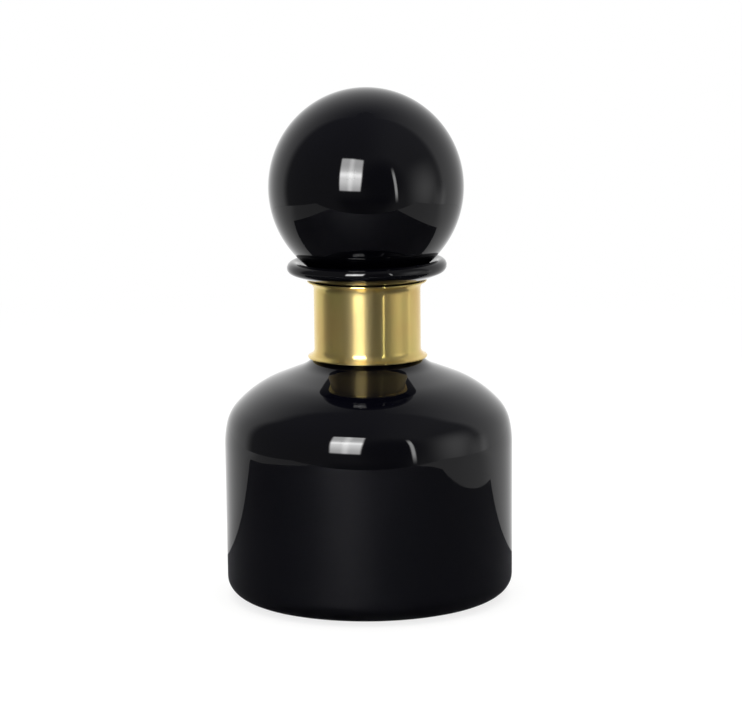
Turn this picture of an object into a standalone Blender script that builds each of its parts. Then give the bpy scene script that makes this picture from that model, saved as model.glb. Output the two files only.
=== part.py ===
"""Blown black glass decanter with a brass neck collar and a hollow ball stopper.

Sizes are in millimetres and become metres where a mesh is made. +Z is up, the origin is the
centre of the base, and every turned piece shares the Z axis.
"""
import math

import bmesh
import bpy

MM = 0.001
SEGMENTS = 40
MERGE = 0.00001

# Gap between neighbours, and the rises that leave about that gap square to a sloping seat
FIT_GAP = 0.3
COLLAR_SEAT_RISE = 0.7
BALL_SEAT_RISE = 0.36

# Vessel body
BODY_RADIUS = 60.6
BODY_TAPER = 0.25
SIDE_HEIGHT = 64.8
HEEL_WIDTH = 10.2
HEEL_HEIGHT = 8.4
BODY_WALL = 4.5
INNER_HEEL = 8.0
FLOOR_THICKNESS = 5.5
RESTING_RING = 10.2
PUNT_RISE = 4.0

# Shoulder and neck: three arcs that run into each other, each turn measured from level
SIDE_ARC = 41.0
SIDE_TURN = math.radians(13.0)
CORNER_ARC = 16.5
CORNER_TURN = math.radians(42.0)
CROWN_ARC = 45.0
SHOULDER_SLOPE = math.radians(21.3)
NECK_RADIUS = 20.2
NECK_FILLET = 13.0
NECK_WALL = 3.7

# Lip
LIP_REACH = 13.3
RIM_THICKNESS = 5.6
LIP_UNDER_SLOPE = math.radians(21.0)
LIP_UNDER_FILLET = 5.0
LIP_TOP_SLOPE = math.radians(32.0)
THROAT_RADIUS = 10.0

# Brass collar and the cement under it
COLLAR_LENGTH = 32.6
SHEET_THICKNESS = 0.8
FLARE_RADIUS = 3.6
FLARE_SWEEP = math.radians(75.0)
SEAM_WIDTH = 0.6
BEDDING_THICKNESS = 0.8
BEDDING_MARGIN = 1.5

# Ball stopper
BALL_RADIUS = 40.8
BALL_HALF_HEIGHT = 41.4
BALL_WALL = 4.0
SHANK_LENGTH = 28.0
SHANK_WALL = 4.5
SHANK_FILLET = 2.5
END_BEAD = 1.4
END_BEAD_HEIGHT = 2.6

# Silicone seal between the shank and the bore
SEAL_WALL = 1.5
RIB_REACH = 2.4
RIB_COUNT = 4
RIB_THICKNESS = 1.6
RIB_TIP = 0.7

# Radii that follow from the sizes above
BASE_RADIUS = BODY_RADIUS - BODY_TAPER
PUNT_RADIUS = BASE_RADIUS - HEEL_WIDTH - RESTING_RING
BORE_RADIUS = NECK_RADIUS - NECK_WALL
RIM_RADIUS = NECK_RADIUS + LIP_REACH - RIM_THICKNESS / 2.0
BEDDING_RADIUS = NECK_RADIUS + FIT_GAP
SHEET_RADIUS = BEDDING_RADIUS + BEDDING_THICKNESS + FIT_GAP + SHEET_THICKNESS / 2.0
RIB_RADIUS = BORE_RADIUS - FIT_GAP
SLEEVE_RADIUS = RIB_RADIUS - RIB_REACH
SHANK_RADIUS = SLEEVE_RADIUS - SEAL_WALL - FIT_GAP


def arc(centre, radii, start, end, steps):
    """Points of an elliptical arc in the (r, z) plane; angles run from the +r direction."""
    angles = [start + (end - start) * i / steps for i in range(steps + 1)]
    return [(centre[0] + radii[0] * math.cos(a), centre[1] + radii[1] * math.sin(a)) for a in angles]


def height_at(profile, radius):
    """Height of a profile, given from the outside inwards, at one radius."""
    for (r0, z0), (r1, z1) in zip(profile, profile[1:]):
        if r1 <= radius <= r0 and r0 > r1:
            return z0 + (z1 - z0) * (r0 - radius) / (r0 - r1)
    return profile[-1][1]


def dome(wall, steps):
    """Convex part of the shoulder, one wall inside the glass's outer face, from the side upwards."""
    last = math.pi / 2.0 - SHOULDER_SLOPE
    points = []
    centre_r, centre_z, before, start = BODY_RADIUS, SIDE_HEIGHT, 0.0, 0.0
    for radius, stop in ((SIDE_ARC, SIDE_TURN), (CORNER_ARC, CORNER_TURN), (CROWN_ARC, last)):
        centre_r += (before - radius) * math.cos(start)
        centre_z += (before - radius) * math.sin(start)
        share = max(1, round(steps * (stop - start) / last))
        radii = (radius - wall, radius - wall)
        points = points[:-1] + arc((centre_r, centre_z), radii, start, stop, share)
        before, start = radius, stop
    return points


def neck_fillet_centre():
    """Centre of the fillet that turns the shoulder's slope up into the neck."""
    dome_end = dome(0.0, 1)[-1]
    tangent_r = NECK_RADIUS + NECK_FILLET * (1.0 - math.sin(SHOULDER_SLOPE))
    tangent_z = dome_end[1] + (dome_end[0] - tangent_r) * math.tan(SHOULDER_SLOPE)
    return NECK_RADIUS + NECK_FILLET, tangent_z + NECK_FILLET * math.cos(SHOULDER_SLOPE)


def neck_fillet(wall, steps):
    """Fillet between shoulder and neck, one wall inside the glass's outer face."""
    radius = NECK_FILLET + wall
    start = -math.pi / 2.0 - SHOULDER_SLOPE
    return arc(neck_fillet_centre(), (radius, radius), start, -math.pi, steps)


def flare(offset, steps):
    """Upper flare of the collar from its crease, at height 0, out to its edge."""
    radius = FLARE_RADIUS + offset
    return arc((SHEET_RADIUS + FLARE_RADIUS, 0.0), (radius, radius), math.pi, math.pi - FLARE_SWEEP, steps)


def flare_height():
    """Height that one flare takes, measured to its furthest corner."""
    return (FLARE_RADIUS + SHEET_THICKNESS / 2.0) * math.sin(FLARE_SWEEP)


def collar_foot():
    """Height of the collar's lower crease when its flare sits just clear of the shoulder."""
    glass = dome(0.0, 10) + neck_fillet(0.0, 12)
    inside = flare(SHEET_THICKNESS / 2.0, 6)
    return max(height_at(glass, r) + z for r, z in inside[1:]) + COLLAR_SEAT_RISE


def collar_head():
    """Height of the collar's upper crease."""
    return collar_foot() + COLLAR_LENGTH - 2.0 * flare_height()


def rim_centre():
    """Centre of the rounded rim, where the lip's underside just clears the collar's edge."""
    edge_r, edge_z = flare(SHEET_THICKNESS / 2.0, 1)[-1]
    half = RIM_THICKNESS / 2.0
    clear_z = collar_head() + edge_z + FIT_GAP / math.cos(LIP_UNDER_SLOPE)
    tangent_r = RIM_RADIUS + half * math.sin(LIP_UNDER_SLOPE)
    tangent_z = clear_z + (tangent_r - edge_r) * math.tan(LIP_UNDER_SLOPE)
    return RIM_RADIUS, tangent_z + half * math.cos(LIP_UNDER_SLOPE)


def rim():
    """Rounded rim from the lip's top, over the outside, to its underside."""
    half = RIM_THICKNESS / 2.0
    start = math.pi / 2.0 + LIP_TOP_SLOPE
    return arc(rim_centre(), (half, half), start, LIP_UNDER_SLOPE - math.pi / 2.0, 8)


def throat_centre():
    """Centre of the rounded throat, which runs straight into the lip's sloping top."""
    top_r, top_z = rim()[0]
    centre_r = BORE_RADIUS + THROAT_RADIUS
    end_r = centre_r - THROAT_RADIUS * math.sin(LIP_TOP_SLOPE)
    end_z = top_z - (top_r - end_r) * math.tan(LIP_TOP_SLOPE)
    return centre_r, end_z - THROAT_RADIUS * math.cos(LIP_TOP_SLOPE)


def throat():
    """Throat from the bore out to the lip's top."""
    radii = (THROAT_RADIUS, THROAT_RADIUS)
    return arc(throat_centre(), radii, math.pi, math.pi / 2.0 + LIP_TOP_SLOPE, 6)


def lip_under_fillet():
    """Fillet from the lip's underside down into the neck."""
    rim_r, rim_z = rim()[-1]
    centre_r = NECK_RADIUS + LIP_UNDER_FILLET
    tangent_r = centre_r - LIP_UNDER_FILLET * math.sin(LIP_UNDER_SLOPE)
    tangent_z = rim_z - (rim_r - tangent_r) * math.tan(LIP_UNDER_SLOPE)
    centre = (centre_r, tangent_z - LIP_UNDER_FILLET * math.cos(LIP_UNDER_SLOPE))
    radii = (LIP_UNDER_FILLET, LIP_UNDER_FILLET)
    return arc(centre, radii, math.pi / 2.0 + LIP_UNDER_SLOPE, math.pi, 4)


def domed_disc(radius, low, rise, steps):
    """Shallow dome from its edge, at one radius and height, up to its middle."""
    quarter = math.pi / 2.0
    points = [(radius * math.cos(quarter * i / steps), quarter * i / steps) for i in range(steps)]
    return [(r, low + rise * math.sin(angle)) for r, angle in points] + [(0.0, low + rise)]


def bottle_profile():
    """Whole section of the vessel: up the inside, over the rim and down the outside."""
    inner_wall = BASE_RADIUS - BODY_WALL
    heel_centre = (inner_wall - INNER_HEEL, FLOOR_THICKNESS + INNER_HEEL)
    floor = domed_disc(heel_centre[0], FLOOR_THICKNESS, PUNT_RISE, 3)
    inside = floor[::-1] + arc(heel_centre, (INNER_HEEL, INNER_HEEL), -math.pi / 2.0, 0.0, 4)[1:]
    inside += dome(BODY_WALL, 7) + neck_fillet(NECK_WALL, 4) + throat()
    shoulder = dome(0.0, 10) + neck_fillet(0.0, 5)
    heel_radii = (HEEL_WIDTH, HEEL_HEIGHT)
    heel = arc((BASE_RADIUS - HEEL_WIDTH, HEEL_HEIGHT), heel_radii, 0.0, -math.pi / 2.0, 6)
    return inside + rim() + lip_under_fillet() + shoulder[::-1] + heel + domed_disc(PUNT_RADIUS, 0.0, PUNT_RISE, 4)


def collar_profile():
    """Closed section of the brass sheet with a flare at each end, outer side first."""
    foot, head = collar_foot(), collar_head()
    half = SHEET_THICKNESS / 2.0
    outer_flare, inner_flare = flare(-half, 5), flare(half, 5)
    outer = [(r, head + z) for r, z in outer_flare[::-1]] + [(r, foot - z) for r, z in outer_flare]
    inner = [(r, foot - z) for r, z in inner_flare[::-1]] + [(r, head + z) for r, z in inner_flare]
    return outer + inner


def bedding_profile():
    """Closed section of the cement between the neck and the collar."""
    outer = BEDDING_RADIUS + BEDDING_THICKNESS
    low = max(collar_foot(), neck_fillet_centre()[1]) + BEDDING_MARGIN
    high = min(collar_head(), lip_under_fillet()[-1][1]) - BEDDING_MARGIN
    return [(outer, high), (outer, low), (BEDDING_RADIUS, low), (BEDDING_RADIUS, high)]


def ball_underside(radius):
    """Drop from the ball's centre to its underside at one radius."""
    return BALL_HALF_HEIGHT * math.sqrt(1.0 - (radius / BALL_RADIUS) ** 2)


def ball_height():
    """Height of the ball's centre when it rests in the throat."""
    seat = [(r, z) for r, z in throat() + rim() if r < BALL_RADIUS]
    return max(z + ball_underside(r) for r, z in seat) + BALL_SEAT_RISE


def shank_top():
    """Height, from the ball's centre, at which the shank leaves the ball."""
    return -ball_underside(SHANK_RADIUS + SHANK_FILLET)


def shank_end():
    """Height of the shank's lower end, from the ball's centre."""
    return shank_top() - SHANK_LENGTH


def stopper_profile():
    """Section of the hollow ball and its open shank, about the ball's centre."""
    root, end = SHANK_RADIUS + SHANK_FILLET, shank_end()
    ball_stop = -math.acos(root / BALL_RADIUS)
    ball = arc((0.0, 0.0), (BALL_RADIUS, BALL_HALF_HEIGHT), math.pi / 2.0, ball_stop, 17)[1:]
    fillet_radii = (SHANK_FILLET, SHANK_FILLET)
    fillet = arc((root, shank_top() - SHANK_FILLET), fillet_radii, math.pi / 2.0, math.pi, 3)[1:]
    bead_height = END_BEAD_HEIGHT / 2.0
    bead = arc((SHANK_RADIUS, end + bead_height), (END_BEAD, bead_height), math.pi / 2.0, -math.pi / 2.0, 4)
    hollow = (BALL_RADIUS - BALL_WALL, BALL_HALF_HEIGHT - BALL_WALL)
    bore = SHANK_RADIUS - SHANK_WALL
    inside = arc((0.0, 0.0), hollow, -math.acos(bore / hollow[0]), math.pi / 2.0, 11)[:-1]
    return [(0.0, BALL_HALF_HEIGHT)] + ball + fillet + bead + [(bore, end)] + inside + [(0.0, hollow[1])]


def seal_profile():
    """Closed section of the ribbed sleeve, about the ball's centre."""
    high = shank_top() - SHANK_FILLET - FIT_GAP
    low = shank_end() + END_BEAD_HEIGHT + FIT_GAP
    first = min(high, throat_centre()[1] - ball_height()) - RIB_THICKNESS
    last = max(low, neck_fillet_centre()[1] - ball_height()) + RIB_THICKNESS
    points = [(SLEEVE_RADIUS, high)]
    for i in range(RIB_COUNT):
        z = first + (last - first) * i / max(RIB_COUNT - 1, 1)
        points += [
            (SLEEVE_RADIUS, z + RIB_THICKNESS / 2.0),
            (RIB_RADIUS, z + RIB_TIP / 2.0),
            (RIB_RADIUS, z - RIB_TIP / 2.0),
            (SLEEVE_RADIUS, z - RIB_THICKNESS / 2.0),
        ]
    inner = SHANK_RADIUS + FIT_GAP
    return points + [(SLEEVE_RADIUS, low), (inner, low), (inner, high)]


def material(name, colour, roughness, metallic, alpha=1.0):
    """Principled material in one plain colour."""
    made = bpy.data.materials.new(name)
    made.use_nodes = True
    shader = made.node_tree.nodes["Principled BSDF"]
    shader.inputs["Base Color"].default_value = (*colour, 1.0)
    shader.inputs["Roughness"].default_value = roughness
    shader.inputs["Metallic"].default_value = metallic
    shader.inputs["Alpha"].default_value = alpha
    return made


def place(obj, collection, parent=None):
    """Puts an object in its collection, under its parent."""
    collection.objects.link(obj)
    obj.parent = parent
    return obj


def turned(name, profile, closed, finish, collection, parent=None):
    """Revolves a section about Z into one solid."""
    mesh = bpy.data.meshes.new(name)
    shape = bmesh.new()
    corners = [shape.verts.new((r * MM, 0.0, z * MM)) for r, z in profile]
    for first, second in zip(corners, corners[1:]):
        shape.edges.new((first, second))
    if closed:
        shape.edges.new((corners[-1], corners[0]))
    shape.to_mesh(mesh)
    shape.free()
    mesh.materials.append(finish)
    obj = place(bpy.data.objects.new(name, mesh), collection, parent)
    screw = obj.modifiers.new("turn", "SCREW")
    screw.axis = "Z"
    screw.angle = math.tau
    screw.steps = SEGMENTS
    screw.render_steps = SEGMENTS
    screw.use_merge_vertices = True
    screw.merge_threshold = MERGE
    screw.use_smooth_shade = True
    return obj


def seam_cutter(collection):
    """Thin block through the back of the collar, where the wrapped sheet's edges meet."""
    reach = SHEET_RADIUS + FLARE_RADIUS + SHEET_THICKNESS
    middle = (collar_foot() + collar_head()) / 2.0
    mesh = bpy.data.meshes.new("collar_seam")
    shape = bmesh.new()
    bmesh.ops.create_cube(shape, size=MM)
    bmesh.ops.scale(shape, vec=(SEAM_WIDTH, reach, 2.0 * COLLAR_LENGTH), verts=shape.verts)
    shape.to_mesh(mesh)
    shape.free()
    cutter = place(bpy.data.objects.new("collar_seam", mesh), collection)
    cutter.location = (0.0, reach * MM, middle * MM)
    cutter.hide_render = True
    cutter.display_type = "WIRE"
    return cutter


def clear_scene():
    """Removes whatever the open file holds."""
    for obj in list(bpy.data.objects):
        bpy.data.objects.remove(obj, do_unlink=True)


def new_collection(name):
    """Collection of a given name under the scene."""
    made = bpy.data.collections.new(name)
    bpy.context.scene.collection.children.link(made)
    return made


def build():
    """Models the decanter."""
    clear_scene()
    pieces = new_collection("decanter")
    cutters = new_collection("decanter_cutters")
    black_glass = material("black_glass", (0.006, 0.005, 0.008), 0.04, 0.0)
    stopper_glass = material("stopper_black_glass", (0.006, 0.005, 0.008), 0.04, 0.0)
    brass = material("polished_brass", (0.72, 0.58, 0.30), 0.16, 1.0)
    cement = material("bedding_cement", (0.55, 0.50, 0.42), 0.85, 0.0)
    silicone = material("clear_silicone", (0.80, 0.82, 0.82), 0.35, 0.0, 0.6)

    turned("bottle", bottle_profile(), False, black_glass, pieces)
    turned("collar_bedding", bedding_profile(), True, cement, pieces)
    collar = turned("neck_collar", collar_profile(), True, brass, pieces)
    seam = collar.modifiers.new("seam", "BOOLEAN")
    seam.operation = "DIFFERENCE"
    seam.solver = "EXACT"
    seam.object = seam_cutter(cutters)

    stopper_axis = place(bpy.data.objects.new("stopper_axis", None), pieces)
    stopper_axis.location = (0.0, 0.0, ball_height() * MM)
    turned("stopper", stopper_profile(), False, stopper_glass, pieces, stopper_axis)
    turned("stopper_seal", seal_profile(), True, silicone, pieces, stopper_axis)


build()
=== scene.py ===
"""Blown black glass decanter with a brass neck collar and a ball stopper, in a small studio.

Lengths are in millimetres and angles in degrees until a mesh, a lamp or the camera is made.
+Z is up, the camera looks along +Y, and the decanter's pieces are turned about the Z axis.
"""
import logging
import math
from dataclasses import dataclass, field
from enum import Enum
from typing import Any, Iterable, Optional

import bmesh
import bpy
from mathutils import Matrix, Quaternion, Vector, noise


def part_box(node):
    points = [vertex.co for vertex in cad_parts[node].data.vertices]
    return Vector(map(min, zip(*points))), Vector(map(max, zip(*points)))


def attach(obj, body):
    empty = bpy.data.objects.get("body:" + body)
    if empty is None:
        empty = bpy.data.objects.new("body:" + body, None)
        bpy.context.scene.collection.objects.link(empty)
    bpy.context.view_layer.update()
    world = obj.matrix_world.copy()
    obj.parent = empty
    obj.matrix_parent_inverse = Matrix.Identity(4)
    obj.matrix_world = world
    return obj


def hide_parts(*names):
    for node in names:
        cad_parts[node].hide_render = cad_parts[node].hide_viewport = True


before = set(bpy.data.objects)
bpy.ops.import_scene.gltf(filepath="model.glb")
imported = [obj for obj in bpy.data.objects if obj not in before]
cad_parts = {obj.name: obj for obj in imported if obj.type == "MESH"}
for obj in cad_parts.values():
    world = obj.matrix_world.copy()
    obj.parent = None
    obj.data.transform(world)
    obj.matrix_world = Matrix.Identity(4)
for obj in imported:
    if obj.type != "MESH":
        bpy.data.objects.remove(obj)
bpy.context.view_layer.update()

MM = 0.001
LOG = logging.getLogger("decanter")
SHARP_ANGLE = 50.0
MERGE_DISTANCE = 0.0005
POINT_DISTANCE = 0.001
FEWEST_ARC_STEPS = 3

Point = tuple[float, float]
Range = tuple[float, float]
Socket = bpy.types.NodeSocket


class Body(Enum):
    """Bodies that the pieces ride on."""

    BOTTLE = "bottle"
    SEAL = "seal"
    STOPPER = "stopper"


class Rays(Enum):
    """Kinds of light ray that meet a thing in the studio."""

    ALL_BUT_GLOSS = ("camera", "diffuse", "transmission", "shadow")
    GLOSS_ONLY = ("glossy",)


def linear(colour: str) -> tuple[float, float, float, float]:
    """Turns an sRGB hex colour into linear light.

    Args:
        colour: six hex digits after a number sign.

    Returns:
        Red, green, blue and an alpha of 1.
    """
    parts = [int(colour[i:i + 2], 16) / 255.0 for i in (1, 3, 5)]
    light = [c / 12.92 if c <= 0.04045 else ((c + 0.055) / 1.055) ** 2.4 for c in parts]
    return (light[0], light[1], light[2], 1.0)


def add(
    tree: bpy.types.NodeTree, kind: str, inputs: Optional[dict[Any, Any]] = None, **settings: Any,
) -> Any:
    """Adds a node with its settings, values and links.

    Args:
        tree: the node tree that gets the node.
        kind: the node's type name.
        inputs: socket name or number to a value, or to the output that feeds it.
        settings: properties of the node.

    Returns:
        The new node.
    """
    node = tree.nodes.new(kind)
    for name, value in settings.items():
        setattr(node, name, value)
    for key, value in (inputs or {}).items():
        if isinstance(value, bpy.types.NodeSocket):
            tree.links.new(value, node.inputs[key])
        else:
            node.inputs[key].default_value = value
    return node


def new_material(name: str) -> tuple[bpy.types.Material, bpy.types.NodeTree, Socket]:
    """Makes a material that shows nothing yet.

    Args:
        name: its name.

    Returns:
        The material, its node tree, and the place of each point on the object.
    """
    made = bpy.data.materials.new(name)
    made.use_nodes = True
    tree = made.node_tree
    tree.nodes.clear()
    add(tree, "ShaderNodeOutputMaterial")
    return made, tree, add(tree, "ShaderNodeTexCoord").outputs["Object"]


def show(material: bpy.types.Material, shader: Socket) -> bpy.types.Material:
    """Joins a shader to a material's output.

    Args:
        material: the material.
        shader: the shader.

    Returns:
        The material.
    """
    output = material.node_tree.nodes["Material Output"]
    material.node_tree.links.new(shader, output.inputs["Surface"])
    return material


def calc(tree: bpy.types.NodeTree, operation: str, *values: Any, clamp: bool = False) -> Socket:
    """Adds a math node.

    Args:
        tree: the node tree that gets the node.
        operation: what it works out.
        values: its numbers, or the outputs that feed it.
        clamp: True to keep the result between 0 and 1.

    Returns:
        The result.
    """
    inputs = dict(enumerate(values))
    return add(tree, "ShaderNodeMath", inputs, operation=operation, use_clamp=clamp).outputs[0]


def remap(
    tree: bpy.types.NodeTree, value: Socket, source: Range, target: Range = (0.0, 1.0),
    smooth: bool = False,
) -> Socket:
    """Adds a node that maps one range of numbers to another and goes no further than its ends.

    Args:
        tree: the node tree that gets the node.
        value: the number to map.
        source: its first and last value.
        target: what these two become.
        smooth: True for a smooth start and end.

    Returns:
        The result.
    """
    return add(tree, "ShaderNodeMapRange", {
        "Value": value, "From Min": source[0], "From Max": source[1],
        "To Min": target[0], "To Max": target[1],
    }, interpolation_type="SMOOTHSTEP" if smooth else "LINEAR").outputs[0]


def mottle(tree: bpy.types.NodeTree, place: Socket, size: float, detail: float, **more: float) -> Socket:
    """Adds a noise.

    Args:
        tree: the node tree that gets the node.
        place: where it is read.
        size: rough distance from one blotch to the next.
        detail: how many finer noises lie over it.
        more: values of its other sockets.

    Returns:
        A share from 0 to 1, mostly near the middle.
    """
    return add(tree, "ShaderNodeTexNoise", {
        "Vector": place, "Scale": 1.0 / (size * MM), "Detail": detail, **more,
    }).outputs["Fac"]


def relief(tree: bpy.types.NodeTree, height: Socket, depth: float, strength: float = 1.0) -> Socket:
    """Adds a bump of a given depth and returns its normal."""
    inputs = {"Height": height, "Distance": depth * MM, "Strength": strength}
    return add(tree, "ShaderNodeBump", inputs).outputs[0]


def blend(tree: bpy.types.NodeTree, share: Socket, first: Any, second: Any) -> Socket:
    """Adds a node that mixes two colours and returns the result."""
    return add(tree, "ShaderNodeMix", {0: share, 6: first, 7: second}, data_type="RGBA").outputs[2]


def between(tree: bpy.types.NodeTree, share: Socket, first: Any, second: Any) -> Socket:
    """Adds a node that mixes two numbers and returns the result."""
    return add(tree, "ShaderNodeMix", {0: share, 2: first, 3: second}).outputs[0]


def added_light(tree: bpy.types.NodeTree, strength: Any) -> Socket:
    """Adds nodes that give light on top of what lies behind.

    Args:
        tree: the node tree that gets the nodes.
        strength: how much light.

    Returns:
        The shader.
    """
    light = add(tree, "ShaderNodeEmission", {"Strength": strength})
    behind = add(tree, "ShaderNodeBsdfTransparent")
    return add(tree, "ShaderNodeAddShader", {0: light.outputs[0], 1: behind.outputs[0]}).outputs[0]


class Outline:
    """Half section of a turned piece, drawn point by point in the (r, z) plane."""

    def __init__(self, spacing: float) -> None:
        """Starts an empty outline.

        Args:
            spacing: longest distance between two neighbouring points.
        """
        self.spacing = spacing
        self.points: list[Point] = []

    def to(self, r: float, z: float) -> "Outline":
        """Draws a straight run to a point, or starts there.

        Args:
            r: the point's distance from the axis.
            z: its height.

        Returns:
            The outline.
        """
        if self.points:
            start = Vector(self.points[-1])
            run = Vector((r, z)) - start
            count = max(1, math.ceil(run.length / self.spacing))
            self.points += [tuple(start + run * (i / count)) for i in range(1, count)]
        if not self.points or (Vector(self.points[-1]) - Vector((r, z))).length > POINT_DISTANCE:
            self.points.append((r, z))
        return self

    def arc(self, centre: Point, radii: Point, start: float, end: float) -> "Outline":
        """Draws an elliptical arc, joined to what came before by a straight run.

        Args:
            centre: centre of the ellipse.
            radii: its half width and half height.
            start: first angle, from the +r direction.
            end: last angle.

        Returns:
            The outline.
        """
        length = math.radians(abs(end - start)) * max(radii)
        count = max(FEWEST_ARC_STEPS, math.ceil(length / self.spacing))
        for i in range(count + 1):
            angle = math.radians(start + (end - start) * i / count)
            self.to(centre[0] + radii[0] * math.cos(angle), centre[1] + radii[1] * math.sin(angle))
        return self


def turn(outline: Outline, steps: int, closed: bool = False, gap: float = 0.0) -> bmesh.types.BMesh:
    """Spins an outline about Z into a solid.

    Args:
        outline: the half section.
        steps: number of steps in the whole spin.
        closed: True where the section is a loop that stays clear of the axis.
        gap: angle left open at the back, whose two ends are then closed by flat faces.

    Returns:
        The solid, with its faces pointing out.
    """
    shape = bmesh.new()
    first = Quaternion((0.0, 0.0, 1.0), math.radians(90.0 + gap / 2.0))
    corners = [shape.verts.new(first @ Vector((r * MM, 0.0, z * MM))) for r, z in outline.points]
    runs = list(zip(corners, corners[1:] + corners[:1]))
    edges = [shape.edges.new(run) for run in (runs if closed else runs[:-1])]
    bmesh.ops.spin(
        shape, geom=corners + edges, cent=(0.0, 0.0, 0.0), axis=(0.0, 0.0, 1.0), dvec=(0.0, 0.0, 0.0),
        angle=math.radians(360.0 - gap), steps=steps, use_merge=gap == 0.0, use_duplicate=False,
    )
    bmesh.ops.remove_doubles(shape, verts=shape.verts, dist=MERGE_DISTANCE * MM)
    if gap:
        bmesh.ops.holes_fill(shape, edges=[edge for edge in shape.edges if edge.is_boundary], sides=0)
    bmesh.ops.recalc_face_normals(shape, faces=shape.faces)
    return shape


def smooth_step(low: float, high: float, value: float) -> float:
    """Share from 0 at low to 1 at high, with a smooth start and end."""
    share = min(max((value - low) / (high - low), 0.0), 1.0)
    return share * share * (3.0 - 2.0 * share)


def undulate(verts: Iterable[bmesh.types.BMVert], depth: float, wave: float) -> None:
    """Draws vertices in towards the axis by a slow random swell, as hand work leaves a surface.

    Args:
        verts: the vertices to move.
        depth: most that one moves.
        wave: distance from one swell to the next.
    """
    for vert in verts:
        share = 0.5 + 0.5 * noise.noise(vert.co / (wave * MM))
        away = Vector((vert.co.x, vert.co.y, 0.0))
        if away.length > MM:
            vert.co -= away.normalized() * (depth * MM * share)


def finish_piece(
    name: str, shape: bmesh.types.BMesh, finish: "Finish", body: Body, node: str,
) -> None:
    """Makes a piece from a mesh, dresses it and puts it in the place of its node.

    Args:
        name: the piece's name.
        shape: its mesh, which is freed.
        finish: what it is made of.
        body: what it rides on.
        node: the node that it stands for.
    """
    mesh = bpy.data.meshes.new(name)
    shape.to_mesh(mesh)
    shape.free()
    mesh.shade_smooth()
    mesh.set_sharp_from_angle(angle=math.radians(SHARP_ANGLE))
    mesh.materials.append(finish.material())
    piece = bpy.data.objects.new(name, mesh)
    bpy.context.scene.collection.objects.link(piece)
    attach(piece, body.value)
    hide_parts(node)
    LOG.info("%s: %d faces, rides on %s", name, len(mesh.polygons), body.value)


@dataclass(frozen=True)
class Finish:
    """What a piece is made of."""

    name: str

    def material(self) -> bpy.types.Material:
        """Makes the material."""
        raise NotImplementedError


@dataclass(frozen=True)
class BlackSodaGlass(Finish):
    """Black soda-lime glass, blown and fire polished.

    The eye sees a mirror over a body too dark to look into, with a breath of violet. Slow cords in
    the glass bend the reflections a little, handling dulls them in patches, and the ring that the
    vessel stands on is scuffed pale.
    """

    deep: str = "#030307"
    thin: str = "#05050B"
    scuff: str = "#6E6C70"
    ior: float = 1.52
    cord_spacing: float = 38.0
    cord_height: float = 0.012
    smear_size: float = 16.0
    smear_range: Range = (0.35, 0.75)
    roughness: Range = (0.018, 0.045)
    scuff_height: float = 0.12
    grit_size: float = 0.6

    def material(self) -> bpy.types.Material:
        """Makes the glass.

        Returns:
            The material.
        """
        made, tree, place = new_material(self.name)
        cords = mottle(tree, place, self.cord_spacing, 1.0, Roughness=0.4)
        tint = blend(tree, cords, linear(self.deep), linear(self.thin))
        smears = mottle(tree, place, self.smear_size, 4.0, Distortion=0.6)
        dulled = remap(tree, smears, self.smear_range, self.roughness)
        height = add(tree, "ShaderNodeSeparateXYZ", {0: place}).outputs["Z"]
        low = remap(tree, height, (self.scuff_height * MM, 0.0))
        scuffed = calc(tree, "MULTIPLY", low, mottle(tree, place, self.grit_size, 3.0))
        glass = add(tree, "ShaderNodeBsdfPrincipled", {
            "Base Color": blend(tree, scuffed, tint, linear(self.scuff)),
            "Roughness": calc(tree, "ADD", dulled, scuffed, clamp=True),
            "IOR": self.ior, "Normal": relief(tree, cords, self.cord_height),
        })
        return show(made, glass.outputs[0])


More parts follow.
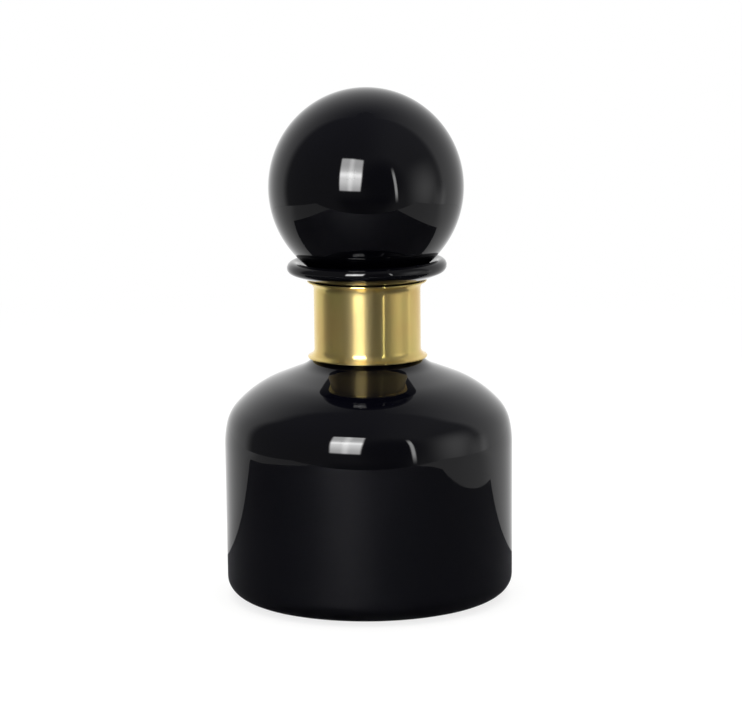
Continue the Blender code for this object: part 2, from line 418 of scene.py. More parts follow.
@dataclass(frozen=True)
class RolledBrass(Finish):
    """Thin rolled brass sheet, polished round and round after it was wrapped.

    The eye sees a warm metal that draws each light out into a tall streak, because the polishing
    lines run round it. It is greener where it has begun to dull, with a few small brown spots, and
    a film of dust and hair scratches gives its lights a wide, paler haze.
    """

    warm: str = "#EBC370"
    bright: str = "#F4D67C"
    olive: str = "#E9D97A"
    spot: str = "#94743C"
    film: str = "#F7E2A6"
    warm_at: float = 0.32
    bright_at: float = 0.50
    olive_at: float = 0.70
    cloud_size: float = 14.0
    cloud_range: Range = (0.35, 0.75)
    roughness: Range = (0.14, 0.20)
    spot_size: float = 2.2
    spot_range: Range = (0.69, 0.80)
    spot_share: float = 0.7
    spot_roughness: float = 0.15
    line_spacing: float = 0.5
    line_height: float = 0.0008
    line_squeeze: float = 0.03
    line_turn: float = 0.25
    pull: float = 1.0
    haze: float = 0.5
    haze_pull: float = 0.89
    haze_share: float = 0.36

    def material(self) -> bpy.types.Material:
        """Makes the brass. Its polishing lines are drawn a few times coarser than real, to show.

        Returns:
            The material.
        """
        made, tree, place = new_material(self.name)
        clouds = mottle(tree, place, self.cloud_size, 3.0, Distortion=0.4)
        tarnish = add(tree, "ShaderNodeValToRGB", {0: clouds})
        stops = tarnish.color_ramp.elements
        stops[0].position, stops[0].color = self.warm_at, linear(self.warm)
        stops[1].position, stops[1].color = self.olive_at, linear(self.olive)
        stops.new(self.bright_at).color = linear(self.bright)
        specks = mottle(tree, place, self.spot_size, 2.0)
        spotted = remap(tree, specks, self.spot_range, (0.0, self.spot_share))
        colour = blend(tree, spotted, tarnish.outputs[0], linear(self.spot))
        dulled = remap(tree, clouds, self.cloud_range, self.roughness)
        rough = calc(tree, "MULTIPLY_ADD", spotted, self.spot_roughness, dulled)
        drawn = add(tree, "ShaderNodeMapping", {
            "Vector": place, "Scale": (self.line_squeeze, self.line_squeeze, 1.0),
        }).outputs[0]
        polished = relief(tree, mottle(tree, drawn, self.line_spacing, 2.0), self.line_height)
        round_it = add(tree, "ShaderNodeTangent", direction_type="RADIAL", axis="Z").outputs[0]
        sheen = (colour, rough, self.pull)
        film = (linear(self.film), self.haze, self.haze_pull)
        coats = [
            add(tree, "ShaderNodeBsdfPrincipled", {
                "Base Color": tint, "Metallic": 1.0, "Roughness": shine, "Anisotropic": pull,
                "Anisotropic Rotation": self.line_turn, "Normal": polished, "Tangent": round_it,
            }).outputs[0]
            for tint, shine, pull in (sheen, film)
        ]
        brass = add(tree, "ShaderNodeMixShader", {0: self.haze_share, 1: coats[0], 2: coats[1]})
        return show(made, brass.outputs[0])


@dataclass(frozen=True)
class PlasterCement(Finish):
    """Plaster cement, mixed stiff and smeared under the collar.

    The eye sees a dead matt cream with coarse grains and small holes.
    """

    pale: str = "#D3C7AC"
    dark: str = "#A5977A"
    grain_size: float = 1.2
    grain_height: float = 0.15
    grain_strength: float = 0.8
    roughness: float = 0.9

    def material(self) -> bpy.types.Material:
        """Makes the cement.

        Returns:
            The material.
        """
        made, tree, place = new_material(self.name)
        grains = mottle(tree, place, self.grain_size, 6.0, Roughness=0.7)
        cement = add(tree, "ShaderNodeBsdfPrincipled", {
            "Base Color": blend(tree, grains, linear(self.dark), linear(self.pale)),
            "Roughness": self.roughness,
            "Normal": relief(tree, grains, self.grain_height, self.grain_strength),
        })
        return show(made, cement.outputs[0])


@dataclass(frozen=True)
class MouldedSilicone(Finish):
    """Food silicone, moulded in a polished tool.

    The eye sees a milky skin that light soaks into, satin, with a faint bloom of dust.
    """

    milk: str = "#DDE1DE"
    bloom: str = "#C6C9C4"
    bloom_size: float = 5.0
    bloom_range: Range = (0.3, 0.7)
    roughness: Range = (0.28, 0.48)
    ior: float = 1.41
    soak: float = 0.35
    soak_colours: tuple[float, float, float] = (1.0, 1.0, 0.9)
    soak_depth: float = 0.8

    def material(self) -> bpy.types.Material:
        """Makes the silicone.

        Returns:
            The material.
        """
        made, tree, place = new_material(self.name)
        dust = mottle(tree, place, self.bloom_size, 5.0)
        silicone = add(tree, "ShaderNodeBsdfPrincipled", {
            "Base Color": blend(tree, dust, linear(self.milk), linear(self.bloom)),
            "Roughness": remap(tree, dust, self.bloom_range, self.roughness),
            "IOR": self.ior, "Subsurface Weight": self.soak,
            "Subsurface Radius": self.soak_colours, "Subsurface Scale": self.soak_depth * MM,
        })
        return show(made, silicone.outputs[0])


@dataclass
class Vessel:
    """Bottle of blown glass: body, domed shoulder, neck and everted lip."""

    taper: float = 0.25
    side_height: float = 64.8
    heel_width: float = 10.2
    heel_height: float = 8.4
    wall: float = 4.5
    inner_heel: float = 8.0
    floor: float = 5.5
    resting_ring: float = 10.2
    punt_rise: float = 4.0
    pontil_radius: float = 8.5
    pontil_depth: float = 0.5
    pontil_edge: float = 0.4
    side_arc: float = 41.0
    side_turn: float = 13.0
    corner_arc: float = 16.5
    corner_turn: float = 42.0
    crown_arc: float = 45.0
    slope: float = 21.3
    neck_radius: float = 20.2
    neck_fillet: float = 13.0
    neck_wall: float = 3.7
    lip_reach: float = 13.3
    rim: float = 5.6
    under_slope: float = 21.0
    under_fillet: float = 5.0
    top_slope: float = 32.0
    throat_radius: float = 10.0
    lip_lean: float = 0.8
    lean_reach: Range = (3.0, 11.0)
    lean_rise: float = 1.0
    swell: float = 0.05
    swell_spacing: float = 45.0
    swell_radius: float = 30.0
    swell_heights: Range = (3.0, 90.0)
    spacing: float = 1.5
    steps: int = 200
    finish: Finish = BlackSodaGlass("black_soda_glass")
    radius: float = field(init=False)
    rim_height: float = field(init=False)

    def __post_init__(self) -> None:
        """Takes the outside from the node: body radius, and the height of the rim's centre."""
        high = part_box("bottle")[1] / MM
        self.radius = high.x
        self.rim_height = high.z - self.rim / 2.0

    def shoulder(self, line: Outline, depth: float, wall: float) -> None:
        """Draws the shoulder upwards, from the side to the neck's tangent point.

        Args:
            line: the outline to draw on.
            depth: how far inside the outer face the dome lies.
            wall: how far inside the outer face the neck lies.
        """
        slope = math.radians(self.slope)
        r, z, before, start = self.radius, self.side_height, 0.0, 0.0
        bends = (
            (self.side_arc, self.side_turn),
            (self.corner_arc, self.corner_turn),
            (self.crown_arc, 90.0 - self.slope),
        )
        for bend, stop in bends:
            r += (before - bend) * math.cos(math.radians(start))
            z += (before - bend) * math.sin(math.radians(start))
            line.arc((r, z), (bend - depth, bend - depth), start, stop)
            before, start = bend, stop
        end_r = r + self.crown_arc * math.sin(slope)
        end_z = z + self.crown_arc * math.cos(slope)
        tangent_r = self.neck_radius + self.neck_fillet * (1.0 - math.sin(slope))
        tangent_z = end_z + (end_r - tangent_r) * math.tan(slope)
        centre = (self.neck_radius + self.neck_fillet, tangent_z + self.neck_fillet * math.cos(slope))
        fillet = self.neck_fillet + wall
        line.arc(centre, (fillet, fillet), -90.0 - self.slope, -180.0)

    def lip(self, line: Outline) -> None:
        """Draws the throat outwards, over the rim and back down under the lip to the neck.

        Args:
            line: the outline to draw on.
        """
        half, throat, fillet = self.rim / 2.0, self.throat_radius, self.under_fillet
        top, under = math.radians(self.top_slope), math.radians(self.under_slope)
        rim_r = self.neck_radius + self.lip_reach - half
        throat_r = self.neck_radius - self.neck_wall + throat
        run = rim_r - half * math.sin(top) - throat_r + throat * math.sin(top)
        throat_end = self.rim_height + half * math.cos(top) - run * math.tan(top)
        throat_z = throat_end - throat * math.cos(top)
        line.arc((throat_r, throat_z), (throat, throat), 180.0, 90.0 + self.top_slope)
        line.arc((rim_r, self.rim_height), (half, half), 90.0 + self.top_slope, self.under_slope - 90.0)
        bend_r = self.neck_radius + fillet
        run = rim_r + half * math.sin(under) - bend_r + fillet * math.sin(under)
        bend_z = self.rim_height - half * math.cos(under) - run * math.tan(under)
        bend_z -= fillet * math.cos(under)
        line.arc((bend_r, bend_z), (fillet, fillet), 90.0 + self.under_slope, 180.0)

    def outline(self) -> Outline:
        """Draws the whole section, up the inside and down the outside.

        Returns:
            The outline.
        """
        line = Outline(self.spacing)
        base = self.radius - self.taper
        inner = base - self.wall - self.inner_heel
        line.to(0.0, self.floor + self.punt_rise)
        line.arc((0.0, self.floor), (inner, self.punt_rise), 90.0, 0.0)
        line.arc((inner, self.floor + self.inner_heel), (self.inner_heel, self.inner_heel), -90.0, 0.0)
        self.shoulder(line, self.wall, self.neck_wall)
        self.lip(line)
        outside = Outline(self.spacing)
        self.shoulder(outside, 0.0, 0.0)
        for r, z in reversed(outside.points):
            line.to(r, z)
        heel_r = base - self.heel_width
        line.arc((heel_r, self.heel_height), (self.heel_width, self.heel_height), 0.0, -90.0)
        punt = heel_r - self.resting_ring
        line.to(punt, 0.0)
        edge = math.degrees(math.acos(self.pontil_radius / punt))
        line.arc((0.0, 0.0), (punt, self.punt_rise), 0.0, edge)
        ground = self.punt_rise * math.sin(math.radians(edge))
        line.arc((0.0, ground), (self.pontil_radius - self.pontil_edge, self.pontil_depth), 0.0, 90.0)
        return line

    def build(self) -> None:
        """Turns the vessel, leans its lip and lets its sides swell a little."""
        shape = turn(self.outline(), self.steps)
        lean = math.tan(math.radians(self.lip_lean))
        inner, outer = (self.neck_radius + reach for reach in self.lean_reach)
        for vert in shape.verts:
            away, height = math.hypot(vert.co.x, vert.co.y) / MM, vert.co.z / MM
            share = smooth_step(inner, outer, away)
            share *= smooth_step(self.rim_height - self.rim, self.rim_height + self.lean_rise, height)
            vert.co.z += vert.co.x * lean * share
        low, high = (height * MM for height in self.swell_heights)
        sides = [
            vert for vert in shape.verts
            if math.hypot(vert.co.x, vert.co.y) > self.swell_radius * MM and low < vert.co.z < high
        ]
        undulate(sides, self.swell, self.swell_spacing)
        finish_piece("blown_bottle", shape, self.finish, Body.BOTTLE, "bottle")


@dataclass
class NeckCollar:
    """Brass sheet wrapped round the neck, flared at both ends and open by a hair at the back."""

    sheet: float = 0.8
    flare: float = 3.6
    sweep: float = 75.0
    sleeve_radius: float = 22.0
    seam: float = 0.6
    swell: float = 0.05
    swell_spacing: float = 11.0
    spacing: float = 0.7
    steps: int = 240
    finish: Finish = RolledBrass("rolled_brass")

    def flare_line(self, line: Outline, base: float, up: float, offset: float, outwards: bool) -> None:
        """Draws one face of a flare.

        Args:
            line: the outline to draw on.
            base: height of the flare's crease.
            up: 1 for the upper flare, -1 for the lower.
            offset: distance from the middle of the sheet, positive towards the glass.
            outwards: True to draw from the crease to the edge.
        """
        radius = self.flare + offset
        ends = (180.0, 180.0 - self.sweep) if outwards else (180.0 - self.sweep, 180.0)
        line.arc((self.sleeve_radius + self.flare, base), (radius, up * radius), *ends)

    def build(self) -> None:
        """Turns the sheet between the node's two ends and closes it at the seam."""
        low, high = (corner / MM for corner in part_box("neck_collar"))
        rise = (self.flare + self.sheet / 2.0) * math.sin(math.radians(self.sweep))
        foot, head, half = low.z + rise, high.z - rise, self.sheet / 2.0
        line = Outline(self.spacing)
        tip = math.radians(180.0 - self.sweep)
        tip_r = self.sleeve_radius + self.flare * (1.0 + math.cos(tip))
        tip_z = self.flare * math.sin(tip)
        self.flare_line(line, head, 1.0, -half, False)
        self.flare_line(line, foot, -1.0, -half, True)
        line.arc((tip_r, foot - tip_z), (half, half), self.sweep, self.sweep - 180.0)
        self.flare_line(line, foot, -1.0, half, False)
        self.flare_line(line, head, 1.0, half, True)
        line.arc((tip_r, head + tip_z), (half, half), 180.0 - self.sweep, -self.sweep)
        line.points.pop()
        shape = turn(line, self.steps, closed=True, gap=math.degrees(self.seam / self.sleeve_radius))
        undulate(shape.verts, self.swell, self.swell_spacing)
        finish_piece("wrapped_collar", shape, self.finish, Body.BOTTLE, "neck_collar")


@dataclass
class CollarBedding:
    """Ring of cement that fills the space between the neck and the collar."""

    corner: float = 0.3
    swell: float = 0.2
    swell_spacing: float = 4.0
    spacing: float = 0.7
    steps: int = 160
    inner_radius: float = 20.5
    finish: Finish = PlasterCement("plaster_cement")

    def build(self) -> None:
        """Turns the ring between the node's ends, with rough top and bottom edges."""
        low, high = (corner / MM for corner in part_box("collar_bedding"))
        outer, c = high.x, self.corner
        line = Outline(self.spacing)
        line.arc((outer - c, high.z - c), (c, c), 90.0, 0.0)
        line.arc((outer - c, low.z + c), (c, c), 0.0, -90.0)
        line.arc((self.inner_radius + c, low.z + c), (c, c), -90.0, -180.0)
        line.arc((self.inner_radius + c, high.z - c), (c, c), 180.0, 90.0)
        shape = turn(line, self.steps, closed=True)
        middle = (low.z + high.z) / 2.0
        for vert in shape.verts:
            share = 0.5 + 0.5 * noise.noise(vert.co / (self.swell_spacing * MM))
            vert.co.z -= math.copysign(self.swell * MM * share, vert.co.z - middle * MM)
        finish_piece("cement_ring", shape, self.finish, Body.BOTTLE, "collar_bedding")


@dataclass
class BallStopper:
    """Hollow blown ball, open at the end of its shank."""

    radius: float = 40.8
    half_height: float = 41.4
    wall: float = 4.0
    shank_radius: float = 12.0
    shank_fillet: float = 2.5
    shank_wall: float = 4.5
    bead: float = 1.4
    bead_height: float = 2.6
    end_round: float = 0.8
    swell: float = 0.04
    swell_spacing: float = 34.0
    swell_above: float = 145.0
    spacing: float = 1.3
    steps: int = 192
    finish: Finish = BlackSodaGlass("black_soda_glass_stopper", scuff_height=0.0)

    def build(self) -> None:
        """Turns the ball, its shank, the bead at the shank's end and the hollow inside."""
        low, high = (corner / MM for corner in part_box("stopper"))
        radius, centre, end = self.radius, high.z - self.half_height, low.z
        root = self.shank_radius + self.shank_fillet
        line = Outline(self.spacing)
        stop = math.degrees(math.acos(root / radius))
        line.arc((0.0, centre), (radius, self.half_height), 90.0, -stop)
        neck = centre - self.half_height * math.sin(math.radians(stop)) - self.shank_fillet
        line.arc((root, neck), (self.shank_fillet, self.shank_fillet), 90.0, 180.0)
        half = self.bead_height / 2.0
        line.arc((self.shank_radius, end + half), (self.bead, half), 90.0, -90.0)
        bore, tip = self.shank_radius - self.shank_wall, self.end_round
        line.arc((bore + tip, end + tip), (tip, tip), -90.0, -180.0)
        hollow = (radius - self.wall, self.half_height - self.wall)
        line.arc((0.0, centre), hollow, -math.degrees(math.acos(bore / hollow[0])), 90.0)
        shape = turn(line, self.steps)
        ball = [vert for vert in shape.verts if vert.co.z > self.swell_above * MM]
        undulate(ball, self.swell, self.swell_spacing)
        finish_piece("ball_stopper", shape, self.finish, Body.STOPPER, "stopper")


@dataclass
class StopperSeal:
    """Silicone sleeve on the shank, with soft ribs, drawn relaxed and just clear of the bore."""

    inner_radius: float = 12.3
    sleeve_radius: float = 13.8
    rib_count: int = 4
    rib: float = 1.6
    rib_angle: float = 60.0
    first_rib: float = 4.3
    last_rib: float = 2.0
    corner: float = 0.35
    spacing: float = 0.5
    steps: int = 160
    finish: Finish = MouldedSilicone("moulded_silicone")

    def build(self) -> None:
        """Turns the sleeve with its ribs between the node's two ends."""
        low, high = (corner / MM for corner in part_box("stopper_seal"))
        reach, half, c = high.x - self.sleeve_radius, self.rib / 2.0, self.corner
        line = Outline(self.spacing)
        line.arc((self.sleeve_radius - c, high.z - c), (c, c), 90.0, 0.0)
        first, last = high.z - self.first_rib, low.z + self.last_rib
        for i in range(self.rib_count):
            z = first + (last - first) * i / (self.rib_count - 1)
            line.to(self.sleeve_radius, z + half)
            line.arc((self.sleeve_radius, z), (reach, half), self.rib_angle, -self.rib_angle)
            line.to(self.sleeve_radius, z - half)
        line.arc((self.sleeve_radius - c, low.z + c), (c, c), 0.0, -90.0)
        line.arc((self.inner_radius + c, low.z + c), (c, c), -90.0, -180.0)
        line.arc((self.inner_radius + c, high.z - c), (c, c), 180.0, 90.0)
        line.points.pop()
        shape = turn(line, self.steps, closed=True)
        finish_piece("ribbed_seal", shape, self.finish, Body.SEAL, "stopper_seal")


def stand_in_studio(
    name: str, shape: bmesh.types.BMesh, material: bpy.types.Material, rays: Rays, place: Matrix,
) -> None:
    """Makes a thing in the studio, which is not part of the decanter.

    Args:
        name: its name.
        shape: its mesh in metres, which is freed.
        material: its material.
        rays: the rays that meet it.
        place: where it stands.
    """
    mesh = bpy.data.meshes.new(name)
    shape.to_mesh(mesh)
    shape.free()
    mesh.materials.append(material)
    thing = bpy.data.objects.new(name, mesh)
    thing.matrix_world = place
    for kind in ("camera", "diffuse", "glossy", "transmission", "shadow", "volume_scatter"):
        setattr(thing, f"visible_{kind}", kind in rays.value)
    bpy.context.scene.collection.objects.link(thing)


def sheet(width: float, height: float) -> bmesh.types.BMesh:
    """Makes a flat sheet, centred on the origin and facing +Z.

    Args:
        width: its size along X.
        height: its size along Y.

    Returns:
        The sheet.
    """
    shape = bmesh.new()
    bmesh.ops.create_grid(shape, x_segments=1, y_segments=1, size=0.5 * MM)
    bmesh.ops.scale(shape, vec=(width, height, 1.0), verts=shape.verts)
    return shape


@dataclass(frozen=True)
class Glow:
    """Light that a panel adds to what lies behind it, softer towards its edges."""

    name: str
    radiance: float
    half_width: float
    half_height: float
    soft_x: float
    soft_y: float

    def material(self) -> bpy.types.Material:
        """Makes the glow.

        Returns:
            The material.
        """
        made, tree, place = new_material(self.name)
        axes = add(tree, "ShaderNodeSeparateXYZ", {0: place})
        strength: Any = self.radiance
        edges = (("X", self.half_width, self.soft_x), ("Y", self.half_height, self.soft_y))
        for axis, half, soft in edges:
            away = calc(tree, "ABSOLUTE", axes.outputs[axis])
            fade = remap(tree, away, (half * MM, (half - soft) * MM), smooth=True)
            strength = calc(tree, "MULTIPLY", strength, fade)
        return show(made, added_light(tree, strength))


@dataclass
class Panel:
    """Flat lit panel at a distance from the decanter, seen only in its reflections."""

    name: str
    azimuth: float
    distance: float
    height: float
    glow: Glow
    tip: float = 0.0
    roll: float = 0.0

    def build(self) -> None:
        """Stands the panel up, facing the axis: its top tips in and rolls to the left."""
        angle = math.radians(self.azimuth)
        right, away = math.sin(angle) * self.distance, -math.cos(angle) * self.distance
        spot = Vector((right, away, self.height)) * MM
        upright = Matrix.Rotation(angle, 4, "Z") @ Matrix.Rotation(math.radians(90.0 - self.tip), 4, "X")
        upright = upright @ Matrix.Rotation(math.radians(self.roll), 4, "Z")
        shape = sheet(2.0 * self.glow.half_width, 2.0 * self.glow.half_height)
        place = Matrix.Translation(spot) @ upright
        stand_in_studio(self.name, shape, self.glow.material(), Rays.GLOSS_ONLY, place)


@dataclass
class Softbox:
    """Tall softbox on the left of the camera, brighter along a cross through its skin."""

    azimuth: float = -17.9
    distance: float = 956.0
    height: float = 493.0
    tip: float = 18.6
    roll: float = -1.5
    half_width: float = 242.0
    half_height: float = 338.0
    edge: float = 42.0
    skin: float = 7.1
    band: float = 6.2
    band_half_height: float = 260.0
    band_drop: float = 70.0
    middle: float = 5.6
    middle_half_height: float = 85.0
    rib: float = 3.5
    rib_half_width: float = 80.0

    def build(self) -> None:
        """Stands up its skin, then two bands across it and a rib up it, each a millimetre nearer."""
        wide, tall, edge = self.half_width, self.half_height, self.edge
        band, middle, rib = self.band_half_height, self.middle_half_height, self.rib_half_width
        glows = (
            (Glow("softbox_skin", self.skin, wide, tall, edge, edge), 0.0),
            (Glow("softbox_band", self.band, wide, band, edge, band), self.band_drop),
            (Glow("softbox_middle", self.middle, wide, middle, edge, middle), 0.0),
            (Glow("softbox_rib", self.rib, rib, tall, rib, edge), 0.0),
        )
        for i, (glow, drop) in enumerate(glows):
            distance, height = self.distance - i, self.height - drop
            Panel(glow.name, self.azimuth, distance, height, glow, self.tip, self.roll).build()


@dataclass
class WhiteSweep:
    """White paper behind the decanter and at its sides, and the white table that it runs onto."""

    radius: float = 900.0
    height: float = 5000.0
    left: float = -80.0
    right: float = 91.0
    soft_left: float = 14.0
    soft_right: float = 13.0
    brightest: float = -8.0
    peak: float = 3.0
    behind: float = 1.0
    side_left: float = 0.385
    side_right: float = 0.48
    fall: float = 0.5
    room_left: float = 0.095
    room_right: float = 0.19
    front_share: float = 0.55
    front_depth: float = 130.0
    table_half_width: float = 690.0
    table_front: float = -395.0
    drop: float = 0.6
    overlap: float = 4.0
    steps: int = 48

    def light_on_paper(
        self, tree: bpy.types.NodeTree, place: Socket,
    ) -> tuple[Socket, Socket, Socket]:
        """Works out how light the paper is: most behind the decanter, less in front, less higher up.

        Args:
            tree: the node tree that gets the nodes.
            place: the place of each point on the paper.

        Returns:
            The light, the angle from straight behind, and the share to the right, from -1 to 1.
        """
        axes = add(tree, "ShaderNodeSeparateXYZ", {0: place})
        turned = calc(tree, "ARCTAN2", axes.outputs["X"], axes.outputs["Y"])
        rightwards = calc(tree, "SINE", turned)
        side = remap(tree, rightwards, (-1.0, 1.0), (self.side_left, self.side_right))
        aside = calc(tree, "SUBTRACT", turned, math.radians(self.brightest))
        backwards = calc(tree, "MAXIMUM", calc(tree, "COSINE", aside), 0.0)
        light = between(tree, calc(tree, "POWER", backwards, self.peak), side, self.behind)
        depth = (0.0, self.front_depth * MM)
        near = remap(tree, axes.outputs["Y"], depth, (self.front_share, 1.0), smooth=True)
        light = calc(tree, "MULTIPLY", light, near)
        level = add(tree, "ShaderNodeVectorMath", {
            0: place, 1: (1.0, 1.0, 0.0),
        }, operation="MULTIPLY").outputs[0]
        away = add(tree, "ShaderNodeVectorMath", {0: level}, operation="LENGTH").outputs["Value"]
        slant = calc(tree, "DIVIDE", axes.outputs["Z"], away)
        square = calc(tree, "MULTIPLY", slant, slant)
        spread = calc(tree, "MULTIPLY_ADD", square, self.fall, 1.0)
        return calc(tree, "DIVIDE", light, spread), turned, rightwards

    def wall_material(self) -> bpy.types.Material:
        """Makes the standing paper: its light fades out at both ends.

        Returns:
            The material.
        """
        made, tree, place = new_material("sweep_wall")
        strength, turned, _ = self.light_on_paper(tree, place)
        for edge, inwards in ((self.left, self.soft_left), (self.right, -self.soft_right)):
            ends = (math.radians(edge), math.radians(edge + inwards))
            strength = calc(tree, "MULTIPLY", strength, remap(tree, turned, ends, smooth=True))
        return show(made, added_light(tree, strength))

    def table_material(self) -> bpy.types.Material:
        """Makes the table, which meets the standing paper without a line.

        Returns:
            The material.
        """
        made, tree, place = new_material("white_table")
        strength, _, rightwards = self.light_on_paper(tree, place)
        room = remap(tree, rightwards, (-1.0, 1.0), (self.room_left, self.room_right))
        light = add(tree, "ShaderNodeEmission", {"Strength": calc(tree, "ADD", strength, room)})
        return show(made, light.outputs[0])

    def build(self) -> None:
        """Bends the wall in an oval round the back and lays the table under it."""
        wall = bmesh.new()
        start, end = self.left - self.overlap, self.right + self.overlap
        first = Quaternion((0.0, 0.0, -1.0), math.radians(start)) @ Vector((0.0, self.radius * MM, 0.0))
        ends = [wall.verts.new(first), wall.verts.new(first + Vector((0.0, 0.0, self.height * MM)))]
        edge = wall.edges.new(ends)
        bmesh.ops.spin(
            wall, geom=ends + [edge], cent=(0.0, 0.0, 0.0), axis=(0.0, 0.0, -1.0), dvec=(0.0, 0.0, 0.0),
            angle=math.radians(end - start), steps=self.steps, use_merge=False, use_duplicate=False,
        )
        bmesh.ops.scale(wall, vec=(self.table_half_width / self.radius, 1.0, 1.0), verts=wall.verts)
        stand_in_studio("sweep_wall", wall, self.wall_material(), Rays.GLOSS_ONLY, Matrix.Identity(4))
        table = bmesh.new()
        angles = [math.pi * (i / self.steps - 0.5) for i in range(self.steps + 1)]
        rim = [(math.sin(a) * self.table_half_width, math.cos(a) * self.radius) for a in angles]
        rim += [(self.table_half_width, self.table_front), (-self.table_half_width, self.table_front)]
        table.faces.new([table.verts.new(Vector((x, y, -self.drop)) * MM) for x, y in reversed(rim)])
        stand_in_studio("white_table", table, self.table_material(), Rays.GLOSS_ONLY, Matrix.Identity(4))


@dataclass
class DarkSheet:
    """Dark satin metal sheet under the decanter, seen only in its reflections."""

    left: float = -368.0
    right: float = 288.0
    front: float = -395.0
    back: float = 70.0
    drop: float = 0.3
    colour: str = "#6C6C70"
    roughness: float = 0.8

    def build(self) -> None:
        """Lays the sheet on the table."""
        made, tree, _ = new_material("dark_sheet")
        metal = add(tree, "ShaderNodeBsdfPrincipled", {
            "Base Color": linear(self.colour), "Metallic": 1.0, "Roughness": self.roughness,
        })
        show(made, metal.outputs[0])
        shape = sheet(self.right - self.left, self.back - self.front)
        middle = Vector(((self.left + self.right) / 2.0, (self.front + self.back) / 2.0, -self.drop))
        bmesh.ops.translate(shape, vec=middle * MM, verts=shape.verts)
        stand_in_studio("dark_sheet", shape, made, Rays.GLOSS_ONLY, Matrix.Identity(4))


@dataclass
class PaleFloor:
    """Plain pale floor, which keeps the decanter's shadow and fades to white further off."""

    size: float = 6000.0
    colour: str = "#F4F4F2"
    shadow_share: float = 0.2
    near: float = 160.0
    far: float = 900.0
    drop: float = 0.5

    def build(self) -> None:
        """Lays the floor."""
        made, tree, place = new_material("pale_floor")
        away = add(tree, "ShaderNodeVectorMath", {0: place}, operation="LENGTH").outputs["Value"]
        fade = (self.near * MM, self.far * MM)
        share = remap(tree, away, fade, (self.shadow_share, 0.0), smooth=True)
        camera = add(tree, "ShaderNodeLightPath").outputs["Is Camera Ray"]
        white = add(tree, "ShaderNodeEmission", {"Strength": camera})
        paper = add(tree, "ShaderNodeBsdfDiffuse", {"Color": linear(self.colour)})
        both = add(tree, "ShaderNodeMixShader", {0: share, 1: white.outputs[0], 2: paper.outputs[0]})
        show(made, both.outputs[0])
        spot = Matrix.Translation((0.0, 0.0, -self.drop * MM))
        stand_in_studio("pale_floor", sheet(self.size, self.size), made, Rays.ALL_BUT_GLOSS, spot)


@dataclass
class Lamps:
    """Light for everything matt, from a wide lamp and an even sky, and the dim room that mirrors see."""

    overhead_size: float = 1400.0
    overhead_height: float = 1300.0
    overhead_watts: float = 20.0
    sky: float = 0.85
    room_left: float = 0.12
    room_right: float = 0.19
    room_turn: Range = (-0.1, 0.55)
    room_dark: float = 0.055
    dark_azimuth: float = 18.0
    dark_elevation: float = 10.0
    dark_inner: float = 8.0
    dark_outer: float = 32.0
    below_share: float = 0.45
    below_depth: float = 12.0
    below_side: float = 0.75
    below_front: float = 0.92

    def build(self) -> None:
        """Hangs the lamp and makes the sky."""
        lamp = bpy.data.lights.new("overhead", "AREA")
        lamp.shape = "SQUARE"
        lamp.size = self.overhead_size * MM
        lamp.energy = self.overhead_watts
        holder = bpy.data.objects.new("overhead", lamp)
        holder.location = (0.0, 0.0, self.overhead_height * MM)
        holder.visible_camera = False
        holder.visible_glossy = False
        bpy.context.scene.collection.objects.link(holder)
        self.sky_world()

    def sky_world(self) -> None:
        """Makes the world: white to the camera, even to matt surfaces, a dim room to mirrors."""
        world = bpy.data.worlds.new("studio")
        world.use_nodes = True
        bpy.context.scene.world = world
        tree = world.node_tree
        tree.nodes.clear()
        towards = add(tree, "ShaderNodeTexCoord").outputs["Generated"]
        axes = add(tree, "ShaderNodeSeparateXYZ", {0: towards})
        sides = (self.room_left, self.room_right)
        room = remap(tree, axes.outputs["X"], self.room_turn, sides, smooth=True)
        angle, lift = math.radians(self.dark_azimuth), math.radians(self.dark_elevation)
        facing = add(tree, "ShaderNodeVectorMath", {
            0: towards,
            1: (math.sin(angle) * math.cos(lift), -math.cos(angle) * math.cos(lift), math.sin(lift)),
        }, operation="DOT_PRODUCT").outputs["Value"]
        spread = (math.cos(math.radians(self.dark_outer)), math.cos(math.radians(self.dark_inner)))
        room = between(tree, remap(tree, facing, spread, smooth=True), room, self.room_dark)
        depth = (-math.sin(math.radians(self.below_depth)), 0.0)
        below = remap(tree, axes.outputs["Z"], depth, (self.below_share, 1.0), smooth=True)
        front = remap(tree, axes.outputs["Y"], (-self.below_side, -self.below_front), smooth=True)
        room = calc(tree, "MULTIPLY", room, between(tree, front, 1.0, below))
        path = add(tree, "ShaderNodeLightPath")
        level = between(tree, path.outputs["Is Glossy Ray"], self.sky, room)
        seen = calc(tree, "MAXIMUM", path.outputs["Is Camera Ray"], path.outputs["Is Transmission Ray"])
        level = between(tree, seen, level, 1.0)
        light = add(tree, "ShaderNodeBackground", {"Color": (1.0, 1.0, 1.0, 1.0), "Strength": level})
        add(tree, "ShaderNodeOutputWorld", {0: light.outputs[0]})


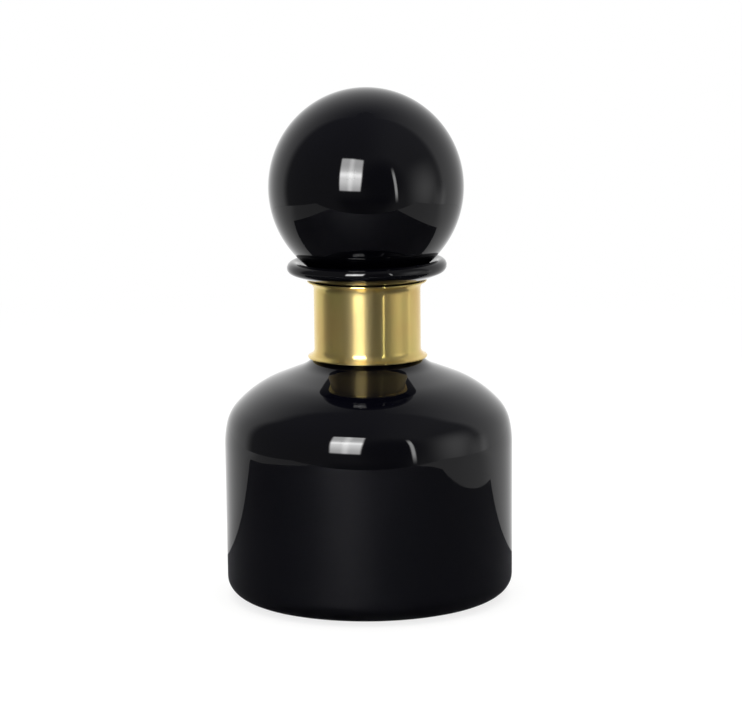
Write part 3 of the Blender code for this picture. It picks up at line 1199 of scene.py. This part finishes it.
@dataclass
class Studio:
    """Everything round the decanter, placed from the reflections that it shows."""

    lamps: Lamps = field(default_factory=Lamps)
    softbox: Softbox = field(default_factory=Softbox)
    sweep: WhiteSweep = field(default_factory=WhiteSweep)
    dark_sheet: DarkSheet = field(default_factory=DarkSheet)
    floor: PaleFloor = field(default_factory=PaleFloor)
    strip: Panel = field(default_factory=lambda: Panel(
        "strip", azimuth=34.0, distance=1040.0, height=300.0, roll=5.0,
        glow=Glow("strip_glow", 5.0, half_width=40.0, half_height=380.0, soft_x=28.0, soft_y=260.0),
    ))
    bounce: Panel = field(default_factory=lambda: Panel(
        "bounce", azimuth=71.0, distance=880.0, height=165.0,
        glow=Glow("bounce_glow", 0.72, half_width=450.0, half_height=500.0, soft_x=450.0, soft_y=500.0),
    ))
    low_bounce: Panel = field(default_factory=lambda: Panel(
        "low_bounce", azimuth=95.0, distance=700.0, height=15.0,
        glow=Glow(
            "low_bounce_glow", 0.33, half_width=170.0, half_height=190.0, soft_x=130.0, soft_y=170.0,
        ),
    ))

    def build(self) -> None:
        """Sets up the studio."""
        around = (self.softbox, self.strip, self.bounce, self.low_bounce)
        for thing in (self.lamps, self.sweep, self.dark_sheet, self.floor, *around):
            thing.build()


@dataclass(frozen=True)
class PhotoCamera:
    """Long lens a little over a metre away, slightly above the decanter's waist."""

    elevation: float = 9.5
    distance: float = 1200.0
    aim_height: float = 97.9
    lean: float = 0.58
    image_width: float = 742.0
    focal_pixels: float = 2854.8
    axis_offset_pixels: float = 3.2
    sensor: float = 36.0

    def build(self) -> None:
        """Makes the camera and aims it."""
        data = bpy.data.cameras.new("photo_camera")
        data.sensor_width = self.sensor
        data.lens = self.focal_pixels * self.sensor / self.image_width
        data.shift_x = self.axis_offset_pixels / self.image_width
        camera = bpy.data.objects.new("photo_camera", data)
        angle = math.radians(self.elevation)
        back = Vector((0.0, -math.cos(angle), math.sin(angle)))
        camera.location = (Vector((0.0, 0.0, self.aim_height)) + back * self.distance) * MM
        camera.rotation_mode = "QUATERNION"
        aim = (-back).to_track_quat("-Z", "Y")
        camera.rotation_quaternion = aim @ Quaternion((0.0, 0.0, 1.0), math.radians(-self.lean))
        bpy.context.scene.collection.objects.link(camera)
        bpy.context.scene.camera = camera


def main() -> None:
    """Builds the camera, the decanter and the studio."""
    logging.basicConfig(level=logging.INFO, format="%(name)s: %(message)s")
    bpy.context.scene.view_settings.view_transform = "Standard"
    PhotoCamera().build()
    for part in (Vessel(), CollarBedding(), NeckCollar(), StopperSeal(), BallStopper()):
        part.build()
    Studio().build()


if __name__ == "__main__":
    main()
